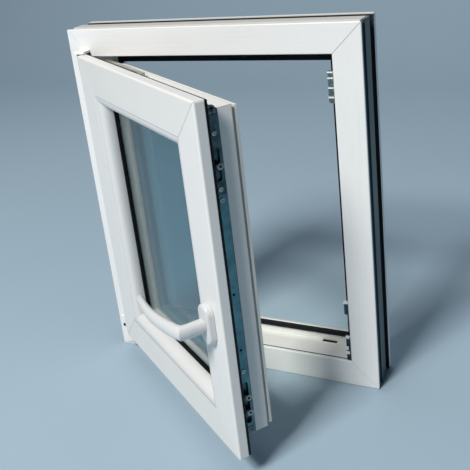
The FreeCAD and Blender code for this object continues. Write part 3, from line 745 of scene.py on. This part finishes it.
handle_x = 177
handle_z = 247.5
rosette_sides = (162, 192)
rosette_ends = (217, 278)
rosette_front = -31.5
rosette_back = -21.3
rosette_foot = 0.8
neck_start = -31.9
lever_path = [
    # towards the hinges, out of the rosette, turn, half depth, half height, sharpness of the ring
    (0, 0, 0, 9.6, 10.6, 1.0),
    (0, 12, 0, 9.1, 10.6, 0.0),
    (0, 24, 0, 8.8, 10.6, 0.0),
    (1.5, 32.6, 38, 10.6, 10.6, 0.6),
    (10, 36.4, 74, 8.2, 10.6, 0.0),
    (26, 40.2, 78, 7.6, 10.5, 0.0),
    (44, 43.3, 83, 7.2, 10.2, 0.0),
    (62, 45.0, 88, 6.9, 9.6, 0.0),
    (80, 45.1, 92.5, 6.5, 8.9, 0.0),
    (97, 43.8, 96.5, 6.0, 8.0, 0.0),
    (111, 41.9, 99, 5.7, 7.5, 0.0),
    (120.5, 40.3, 101, 5.4, 7.0, 0.0),
    (126.6, 39.0, 102, 4.7, 6.0, 0.0),
    (129.6, 38.3, 102, 2.9, 3.7, 0.0),
]


def lever_grip():
    """Bowed lever drawn out section by section from the neck's root."""
    clear_selection()
    along, out, turn, half_depth, half_high, sharp = lever_path[0]
    centre = at(handle_x - along, neck_start - out, handle_z)
    bpy.ops.mesh.primitive_plane_add(size=2, location=centre, rotation=(math.radians(90), 0, 0))
    lever = bpy.context.object
    lever.name = "lever_grip"
    lever.scale = (half_depth * mm, half_high * mm, 1)
    settle(lever)
    edit(lever)
    bpy.ops.mesh.select_all(action="SELECT")
    bpy.ops.mesh.bevel(affect="VERTICES", offset=5.5 * mm, segments=1)
    bpy.ops.mesh.select_mode(type="FACE")
    bpy.ops.mesh.select_all(action="SELECT")
    bpy.ops.transform.edge_crease(value=sharp)
    for along, out, next_turn, next_depth, next_high, sharp in lever_path[1:]:
        next_centre = at(handle_x - along, neck_start - out, handle_z)
        bpy.ops.mesh.extrude_region_move(TRANSFORM_OT_translate={"value": next_centre - centre})
        bpy.ops.transform.rotate(value=math.radians(-turn), orient_axis="Z", center_override=next_centre)
        bpy.ops.transform.resize(value=(next_depth / half_depth, 1, next_high / half_high),
                                 center_override=next_centre)
        bpy.ops.transform.rotate(value=math.radians(next_turn), orient_axis="Z", center_override=next_centre)
        bpy.ops.transform.edge_crease(value=sharp)
        centre, turn, half_depth, half_high = next_centre, next_turn, next_depth, next_high
    bpy.ops.mesh.select_all(action="SELECT")
    bpy.ops.mesh.normals_make_consistent(inside=False)
    done()
    smooth = lever.modifiers.new("smooth", "SUBSURF")
    smooth.levels = 3
    smooth.render_levels = 3
    bpy.ops.object.modifier_apply(modifier=smooth.name)
    hang(lever, "handle", "handle_white", "handle", "handle_lever")


def rosette_cover():
    """Rounded cover over the handle's mounting plate, with a thin shadow joint at its foot."""
    cover = new_block("rosette_cover", (rosette_sides[0], rosette_front, rosette_ends[0]),
                      (rosette_sides[1], rosette_back, rosette_ends[1]))
    round_edges(cover, edges_along(y_axis), 14.5, 12)
    front = at(0, rosette_front, 0).y
    round_edges(cover, edges_at(y_axis, front), 4.0, 6)
    back = at(0, rosette_back, 0).y
    edit(cover)
    choose(cover, "FACE", lambda face: near(face.calc_center_median().y, back) and face.normal.y > 0.9)
    bpy.ops.mesh.inset(thickness=0.7 * mm)
    bpy.ops.mesh.extrude_region_move(TRANSFORM_OT_translate={"value": (0, rosette_foot * mm, 0)})
    done()
    hang(cover, "sash", "handle_white", "handle", "handle_rosette")


# Fasteners and gear details on the sash's lock edge.

plate_face = 191.5
plate_middle = 12
plate_screw_heights = (421.3, 436.5, 511.0, 163.0)
cam_base = 192.3
cam_top = 198.8
cam_socket_floor = 196.0
cam_heights = {"upper": 469, "lower": 123, "tilt": 98}
corner_end_face = 192.1
corner_rib_face = 192.8
corner_rib_feet = (60.5, 63.9, 67.3)
corner_rib_height = 1.8
corner_lug_face = 191.7
corner_bore_height = 541.8
corner_plug_base = 189.3
corner_plug_face = 190.1


def cross_recess(head, start_x, end_x, depth, height, long_half, short_half):
    """Cut a cross into a screw head that stands along x."""
    for half_depth, half_high in ((short_half, long_half), (long_half, short_half)):
        carve(head, new_block("recess", (start_x, depth - half_depth, height - half_high),
                              (end_x, depth + half_depth, height + half_high)))


def cross_screw(name, base, radius, raised, recess):
    """Raised screw head with a cross recess, standing along x."""
    x, depth, height = base
    head = new_drum(name, base, radius, raised, "x", 28)
    round_edges(head, edges_at(x_axis, (x + raised) * mm), raised * 0.6, 3)
    cross_recess(head, x + raised * 0.25, x + raised + 1, depth, height, recess, recess * 0.3)
    return head


def lock_edge_screws():
    """Screw heads along the cover plates."""
    first_height = plate_screw_heights[0]
    screws = [cross_screw("plate_screw_1", (plate_face - 0.2, plate_middle, first_height), 3.6, 1.3, 2.0)]
    for i, z in enumerate(plate_screw_heights[1:]):
        screws.append(copy_to(screws[0], "plate_screw_" + str(i + 2), (0, 0, z - first_height)))
    for screw in screws:
        hang(screw, "sash", "gear_metal", "screw")


def eccentric_cam(name, z):
    """Mushroom cam with a hexagon socket, on its stem."""
    cam = new_drum(name, (cam_base, plate_middle, z), 5.0, cam_top - cam_base, "x", 40)
    round_edges(cam, edges_at(x_axis, cam_top * mm), 1.0, 3)
    edit(cam)
    choose(cam, "FACE", lambda face: (near(face.calc_center_median().x, cam_base * mm)
                                      and face.normal.x < -0.9))
    bpy.ops.mesh.inset(thickness=1.5 * mm)
    bpy.ops.mesh.extrude_region_move(TRANSFORM_OT_translate={"value": (-5.0 * mm, 0, 0)})
    done()
    carve(cam, new_drum("socket", (cam_socket_floor, plate_middle, z), 2.3, 4, "x", 6))
    return cam


def cams():
    upper = eccentric_cam("cam_upper", cam_heights["upper"])
    lower = copy_to(upper, "cam_lower", (0, 0, cam_heights["lower"] - cam_heights["upper"]))
    tilt = copy_to(upper, "cam_tilt", (0, 0, cam_heights["tilt"] - cam_heights["upper"]))
    hang(upper, "drive", "cam_metal", "cam", "lock_cam_upper")
    hang(lower, "drive", "cam_metal", "cam", "lock_cam_lower")
    hang(tilt, "drive", "cam_metal", "cam", "tilt_cam")


def corner_end():
    """Cast end of the lower corner piece, with raised ribs."""
    end = new_block("corner_end", (191.3, 5.0, 59.0), (corner_end_face, 19.0, 70.0))
    ribs = []
    for foot in corner_rib_feet:
        rib = new_block("rib", (192.0, 6.5, foot), (corner_rib_face, 17.5, foot + corner_rib_height))
        round_edges(rib, edges_at(x_axis, corner_rib_face * mm), 0.35, 2)
        ribs.append(rib)
    round_edges(end, edges_at(x_axis, corner_end_face * mm), 0.3, 2)
    hang(join("corner_end", [end] + ribs), "sash", "gear_metal", "cast")


def corner_lug():
    """Rounded end of the upper corner piece, with a deep hole."""
    lug = new_block("corner_lug", (189.2, 6.0, 536.0), (corner_lug_face, 18.0, 547.0))
    round_edges(lug, lambda edge: edges_along(x_axis)(edge) and edge.verts[0].co.z > 540 * mm, 5.4, 8)
    carve(lug, new_drum("bore", (188, plate_middle, corner_bore_height), 3.4, 5, "x", 28))
    round_edges(lug, edges_at(x_axis, corner_lug_face * mm), 0.3, 2)
    plug = new_drum("corner_bore", (corner_plug_base, plate_middle, corner_bore_height), 3.35,
                    corner_plug_face - corner_plug_base, "x", 28)
    round_edges(plug, edges_at(x_axis, corner_plug_face * mm), 0.2, 2)
    hang(lug, "sash", "gear_metal", "cast")
    hang(plug, "sash", "gear_metal", "dark_steel")


# Hinges, keeps, stay arm and glazing.

adjuster_x = -237.5
adjuster_front = -4.35
adjuster_height = 44
keep_rib_heights = (528.6, 520.1, 505.6, 491.6)
keep_liner_ends = (483.8, 530.2)
keep_rib_front = 195.5
keep_pad_front = 196.5
keep_pads_at = ((153.4, 1.9, 204.2), (88.8, 1.5, 203.4), (69.0, 3.0, 201.0), (60.4, 2.5, 202.6))
keep_screw_front = 201.2
keep_screw_depth = 14
keep_screw_heights = (508, 124, 56)
rivet_places = (-178, -120, -62)
rivet_base = 549.3
rivet_height = 1.5


def hinge_adjuster():
    """Dark collar and socket screw in the hole of the lower hinge's plate; the black collar is painted shade
    that widens the dark of the hole.
    """
    collar = new_drum("hinge_adjuster", (adjuster_x, adjuster_front, adjuster_height), 3.3, 0.4, "depth", 28)
    round_edges(collar, edges_at(y_axis, at(0, adjuster_front, 0).y), 0.25, 2)
    screw = new_drum("screw", (adjuster_x + 0.5, -4.1, adjuster_height), 1.6, 3.0, "depth", 28)
    collar = join("hinge_adjuster", [collar, screw])
    carve(collar, new_drum("socket", (adjuster_x, -5.0, adjuster_height), 1.5, 3.0, "depth", 6))
    hang(collar, "frame", "cover_white", "seal")


def weld_flash():
    """Rough ridge of melted plastic left along the frame's upper lock corner."""
    ridge = new_block("weld_flash", (246.5, 3.5, 596.5), (250.2, 39.5, 600.2))
    edit(ridge)
    bpy.ops.mesh.select_all(action="SELECT")
    bpy.ops.mesh.subdivide(number_cuts=11)
    bpy.ops.transform.vertex_random(offset=1.5 * mm, uniform=0.2, normal=0.6, seed=7)
    bpy.ops.mesh.vertices_smooth(factor=0.3, repeat=1)
    done()
    hang(ridge, "frame", "frame_white", "flash")


def keep_ribs():
    """Grooved liner over the wall of the upper keep, with light guide ribs across it."""
    foot, top = keep_liner_ends
    liner = new_block("keep_liner", (196.2, 1.6, foot), (204.4, 5.8, top))
    for x in (198.2, 200.2):
        carve(liner, new_block("line", (x, 1.0, foot - 1.8), (x + 0.8, 2.0, top + 1.8)))
    round_edges(liner, edges_at(z_axis, foot * mm), 0.3, 2)
    hang(liner, "frame", "keep_metal", "keep_pale")
    ribs = []
    for z in keep_rib_heights:
        rib = new_block("rib", (keep_rib_front, 0.9, z - 1.0), (204.2, 5.9, z + 1.0))
        round_edges(rib, edges_at(x_axis, keep_rib_front * mm), 0.6, 3)
        ribs.append(rib)
    hang(join("keep_ribs", ribs), "frame", "cover_white", "cover")


def keep_pads():
    """Light buffers on the walls of the two lower keeps."""
    pads = []
    for z, half, end in keep_pads_at:
        pad = new_block("pad", (keep_pad_front, 1.1, z - half), (end, 5.6, z + half))
        round_edges(pad, edges_at(x_axis, keep_pad_front * mm), 0.7, 3)
        pads.append(pad)
    hang(join("keep_pads", pads), "frame", "cover_white", "cover")


def keep_screws():
    """Screw heads that hold the keeps to the jamb, looking into the opening."""
    depth = keep_screw_depth
    height = keep_screw_heights[0]
    first = new_drum("keep_screw_1", (keep_screw_front, depth, height), 3.2, 1.5, "x", 24)
    round_edges(first, edges_at(x_axis, keep_screw_front * mm), 0.8, 3)
    cross_recess(first, keep_screw_front - 0.7, keep_screw_front + 0.7, depth, height, 1.8, 0.5)
    screws = [first]
    for i, z in enumerate(keep_screw_heights[1:]):
        screws.append(copy_to(first, "keep_screw_" + str(i + 2), (0, 0, z - height)))
    for screw in screws:
        hang(screw, "frame", "keep_metal", "screw")


def arm_rivets():
    """Domed rivet heads along the stay arm."""
    first = new_drum("arm_rivet_1", (rivet_places[0], plate_middle, rivet_base), 3.4, rivet_height, "z", 28)
    round_edges(first, edges_at(z_axis, (rivet_base + rivet_height) * mm), 1.2, 5)
    rivets = [first]
    for i, x in enumerate(rivet_places[1:]):
        rivets.append(copy_to(first, "arm_rivet_" + str(i + 2), (x - rivet_places[0], 0, 0)))
    for rivet in rivets:
        hang(rivet, "sash", "gear_metal", "screw")


# Half sizes of the beads' outer edge along x and z, their section, and the seal behind them.
bead_half_x = 155
bead_half_z = 205
bead_middle_z = 300
bead_width = 18
bead_front = -19.5
bead_arc = 15
bead_arc_depth = 17.5
bead_arc_steps = 14
edge_seal_width = 14.0


def glazing_bead(side, upright, way):
    """Rounded glazing bead of one side, mitred at both ends; way is the side's direction from the middle."""
    squash = bead_arc / bead_arc_depth
    front = bead_front * squash
    low_z = bead_middle_z - bead_half_z
    high_z = bead_middle_z + bead_half_z
    if upright:
        outer = way * bead_half_x
        inner = way * (bead_half_x - bead_width)
        low, high = (min(outer, inner), front, low_z), (max(outer, inner), 0, high_z)
    else:
        outer = bead_middle_z + way * bead_half_z
        inner = bead_middle_z + way * (bead_half_z - bead_width)
        low, high = (-bead_half_x, front, min(outer, inner)), (bead_half_x, 0, max(outer, inner))
    bead = new_block("glazing_bead_" + side, low, high)
    at_front = edges_at(y_axis, at(0, front, 0).y)
    at_inside = edges_at(x_axis if upright else z_axis, inner * mm)
    round_edges(bead, lambda edge: at_front(edge) and at_inside(edge), bead_arc, bead_arc_steps)
    edit(bead)
    bpy.ops.mesh.select_all(action="SELECT")
    bpy.ops.transform.resize(value=(1, 1 / squash, 1), center_override=at(0, 0, 0))
    for end in (-1, 1):
        x_way, z_way = (way, end) if upright else (end, way)
        corner = at(x_way * bead_half_x, 0, bead_middle_z + z_way * bead_half_z)
        mitre = (-way, 0, end) if upright else (end, 0, -way)
        bpy.ops.mesh.select_all(action="SELECT")
        bpy.ops.mesh.bisect(plane_co=corner, plane_no=mitre, use_fill=True, clear_outer=True)
    bpy.ops.mesh.select_all(action="SELECT")
    bpy.ops.mesh.normals_make_consistent(inside=False)
    done()
    hang(bead, "sash", "bead_white", "bead_upright" if upright else "bead_level", "bead_" + side)


def glazing_beads():
    glazing_bead("hinge", True, -1)
    glazing_bead("lock", True, 1)
    glazing_bead("bottom", False, -1)
    glazing_bead("top", False, 1)


def edge_seal():
    """Black seal bead round the edge of the double glazing, behind the room pane."""
    seal = new_block("edge_seal", (-149.5, 8.05, 100.5), (149.5, 9.8, 499.5))
    edit(seal)
    choose(seal, "FACE", lambda face: abs(face.normal.y) > 0.9)
    bpy.ops.mesh.inset(thickness=edge_seal_width * mm, use_individual=True)
    bpy.ops.mesh.bridge_edge_loops()
    bpy.ops.mesh.select_all(action="SELECT")
    bpy.ops.mesh.normals_make_consistent(inside=False)
    done()
    hang(seal, "sash", "gasket", "seal")


lever_grip()
rosette_cover()
lock_edge_screws()
cams()
corner_end()
corner_lug()
hinge_adjuster()
weld_flash()
keep_ribs()
keep_pads()
keep_screws()
arm_rivets()
glazing_beads()
edge_seal()


# Floor, light and camera.

def pale_sweep():
    """Floor that curves up into a backdrop."""
    clear_selection()
    floor_size = 16
    backdrop_y = 3.4
    bpy.ops.mesh.primitive_plane_add(size=floor_size, location=(0, backdrop_y - floor_size / 2, -0.0005))
    sweep = bpy.context.object
    sweep.name = "pale_sweep"
    settle(sweep)
    edit(sweep)
    choose(sweep, "EDGE", edges_at(y_axis, backdrop_y))
    bpy.ops.mesh.extrude_region_move(TRANSFORM_OT_translate={"value": (0, 0, 5)})
    choose(sweep, "EDGE", lambda edge: all(near(corner.co.y, backdrop_y, 0.01) and corner.co.z < 0.1
                                           for corner in edge.verts))
    bpy.ops.mesh.bevel(offset=1.6, segments=20, affect="EDGES")
    done()
    bpy.ops.object.shade_smooth_by_angle(angle=math.radians(40))
    material, tree, shader, place = new_finish("floor_paper")
    tone = spread(tree, noise(tree, place, 1.3, 3.0), 0.3, 0.7)
    paper = blend_colours(tree, tone, (0.37, 0.485, 0.575), (0.36, 0.475, 0.565))
    tree.links.new(paper, shader.inputs["Base Color"])
    shader.inputs["Roughness"].default_value = 0.75
    sweep.data.materials.append(material)


def soft_light(name, place, aim, side, power, colour):
    """Square area light."""
    data = bpy.data.lights.new(name, "AREA")
    data.shape = "RECTANGLE"
    data.size = side
    data.size_y = side
    data.energy = power
    data.color = colour
    lamp = bpy.data.objects.new(name, data)
    bpy.context.scene.collection.objects.link(lamp)
    lamp.location = place
    lamp.rotation_euler = (Vector(aim) - Vector(place)).to_track_quat("-Z", "Y").to_euler()


def studio():
    pale_sweep()
    soft_light("key_softbox", place=(-0.8, -3.5, 4.1), aim=(0, -0.1, 0.35), side=1.4, power=292,
               colour=(1.0, 0.98, 0.95))
    soft_light("top_softbox", place=(-0.5, 0.6, 3.0), aim=(0, 0.2, 0.2), side=2.0, power=12,
               colour=(1.0, 0.99, 0.97))
    world = bpy.data.worlds.new("studio_air")
    world.use_nodes = True
    background = world.node_tree.nodes["Background"]
    background.inputs["Color"].default_value = (0.44, 0.63, 0.82, 1)
    background.inputs["Strength"].default_value = 0.10
    bpy.context.scene.world = world
    bpy.context.scene.view_settings.view_transform = "Standard"


def photo_camera():
    """Camera fitted to the corners of frame and sash in the photo."""
    data = bpy.data.cameras.new("photo_camera")
    data.sensor_width = 36
    data.lens = 60.10
    data.shift_x = 0.0149
    data.shift_y = -0.1043
    data.clip_end = 60
    camera = bpy.data.objects.new("photo_camera", data)
    bpy.context.scene.collection.objects.link(camera)
    camera.location = (0.57977, -1.06085, 0.79423)
    camera.rotation_euler = [math.radians(turn) for turn in (68.8853, 6.4047, 26.1196)]
    bpy.context.scene.camera = camera


studio()
photo_camera()
